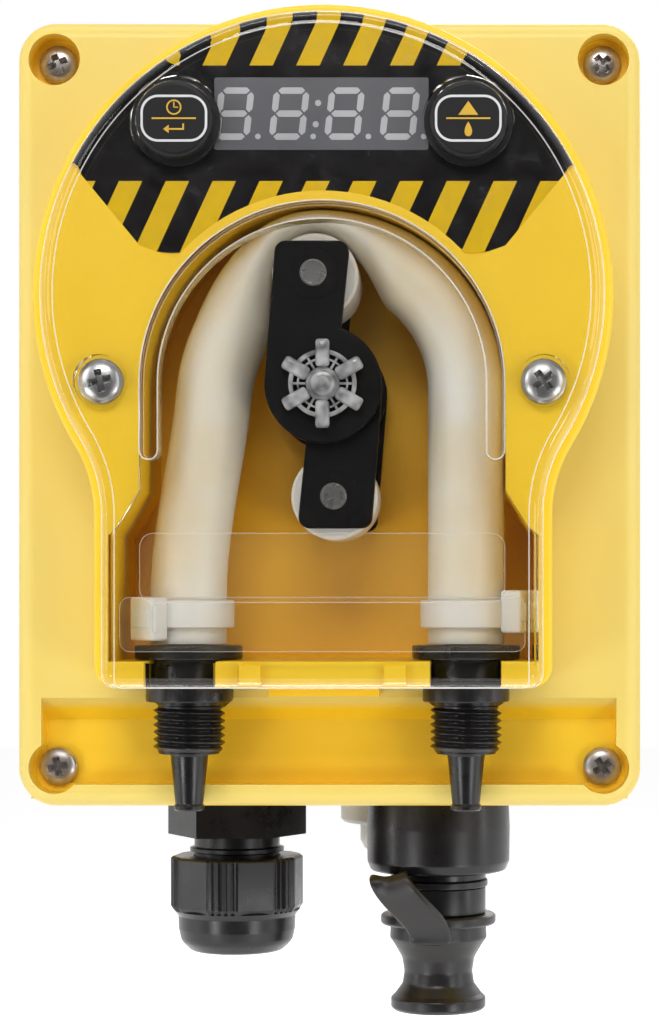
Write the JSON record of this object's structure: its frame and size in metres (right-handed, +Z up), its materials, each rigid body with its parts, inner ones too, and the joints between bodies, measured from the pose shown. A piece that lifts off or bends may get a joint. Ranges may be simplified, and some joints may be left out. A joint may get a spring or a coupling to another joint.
{
  "type": "peristaltic dosing pump",
  "caption": "Wall-hung peristaltic dosing pump: yellow casing, clear keyhole cover over a roller rotor and squeezed tube, threaded hose connectors, cable gland and capped socket below.",
  "frame": {"origin": "middle of the wall plate on the wall plane behind the casing", "axes": "+Z up, the front with the clear cover faces -Y, +X to the viewer's right when looking at the front; millimetre model stored in metres"},
  "size_m": [0.116, 0.0974, 0.1902],
  "materials": {
    "yellow_shell": "satin moulded",
    "black_rubber": "matte",
    "screw_steel": "bright plated",
    "clear_cover": "clear moulded",
    "frosted_clear": "frosted moulded",
    "panel_film": "printed film",
    "button_black": "gloss",
    "display_grey": "smooth",
    "board_green": "lacquered",
    "black_plastic": "fine grain",
    "pump_tube": "satin",
    "fork_black": "fine grain",
    "bright_steel": "brushed",
    "roller_white": "smooth",
    "gearbox_metal": "galvanised",
    "brass_parts": "bright",
    "white_nylon": "smooth",
    "clear_rubber": "satin",
    "coil_tape": "tape",
    "terminal_green": "smooth",
    "capacitor_sleeve": "smooth",
    "relay_case": "smooth"
  },
  "bodies": {
    "housing": {"rear_case": "yellow_shell", "front_case": "yellow_shell", "case_gasket": "black_rubber", "case_screws": "screw_steel", "clear_cover": "clear_cover", "bearing_star": "frosted_clear", "cover_screws": "screw_steel", "panel_overlay": "panel_film", "display_module": "display_grey", "control_board": "board_green", "control_screws": "screw_steel", "tact_switches": "black_plastic", "pump_tube": "pump_tube", "gearbox": "gearbox_metal", "motor_can": "bright_steel", "motor_terminals": "brass_parts", "gearbox_screws": "screw_steel", "hose_connector_left": "black_plastic", "hose_connector_right": "black_plastic", "cable_tie_left": "white_nylon", "cable_tie_right": "white_nylon", "gland_body": "black_plastic", "gland_locknut": "black_plastic", "gland_nut": "black_plastic", "gland_seal": "black_rubber", "socket_body": "black_plastic", "socket_locknut": "black_plastic", "socket_insert": "black_plastic", "socket_pins": "brass_parts", "cap_strap": "black_rubber", "switch_body": "black_plastic", "switch_boot": "clear_rubber", "switch_tabs": "brass_parts", "power_board": "board_green", "board_screws": "screw_steel", "transformer_core": "gearbox_metal", "transformer_coil": "coil_tape", "terminal_block": "terminal_green", "terminal_screws": "screw_steel", "capacitors": "capacitor_sleeve", "relay": "relay_case", "wall_plate": "gearbox_metal"},
    "rotor": {"fork_plate_upper_front": "fork_black", "fork_plate_upper_rear": "fork_black", "fork_plate_lower_front": "fork_black", "fork_plate_lower_rear": "fork_black", "rotor_hub": "fork_black", "roller_pins": "bright_steel", "output_shaft": "bright_steel"},
    "upper_roller": {"roller_upper": "roller_white"},
    "lower_roller": {"roller_lower": "roller_white"},
    "left_button": {"button_left": "button_black"},
    "right_button": {"button_right": "button_black"},
    "rocker": {"switch_rocker": "black_plastic"},
    "cap": {"rubber_cap": "black_rubber"}
  },
  "joints": [
    {"name": "rotor_spin", "type": "hinge", "parent": "housing", "child": "rotor", "pos_m": [0, -0.0774, 0.004], "axis": [0, 1, 0], "continuous": true, "deforming": ["pump_tube"]},
    {"name": "upper_roller_spin", "type": "hinge", "parent": "rotor", "child": "upper_roller", "pos_m": [-0.00174, -0.0774, 0.02392], "axis": [0, 1, 0], "continuous": true},
    {"name": "lower_roller_spin", "type": "hinge", "parent": "rotor", "child": "lower_roller", "pos_m": [0.00174, -0.0774, -0.01592], "axis": [0, 1, 0], "continuous": true},
    {"name": "left_button_press", "type": "slide", "parent": "housing", "child": "left_button", "axis": [0, 1, 0], "range_m": [0, 0.0008], "stiffness_N_per_m": 1200, "springref_m": -0.0012},
    {"name": "right_button_press", "type": "slide", "parent": "housing", "child": "right_button", "axis": [0, 1, 0], "range_m": [0, 0.0008], "stiffness_N_per_m": 1200, "springref_m": -0.0012},
    {"name": "switch_rock", "type": "hinge", "parent": "housing", "child": "rocker", "pos_m": [0.01, -0.0146, -0.075], "axis": [1, 0, 0], "range_deg": [-8, 8]},
    {"name": "cap_pull", "type": "slide", "parent": "housing", "child": "cap", "axis": [0, 0, -1], "range_m": [0, 0.012], "deforming": ["cap_strap"]}
  ],
  "couplings": [
    {"joint": "upper_roller_spin", "follows": "rotor_spin", "ratio": -3.5641},
    {"joint": "lower_roller_spin", "follows": "rotor_spin", "ratio": -3.5641}
  ]
}
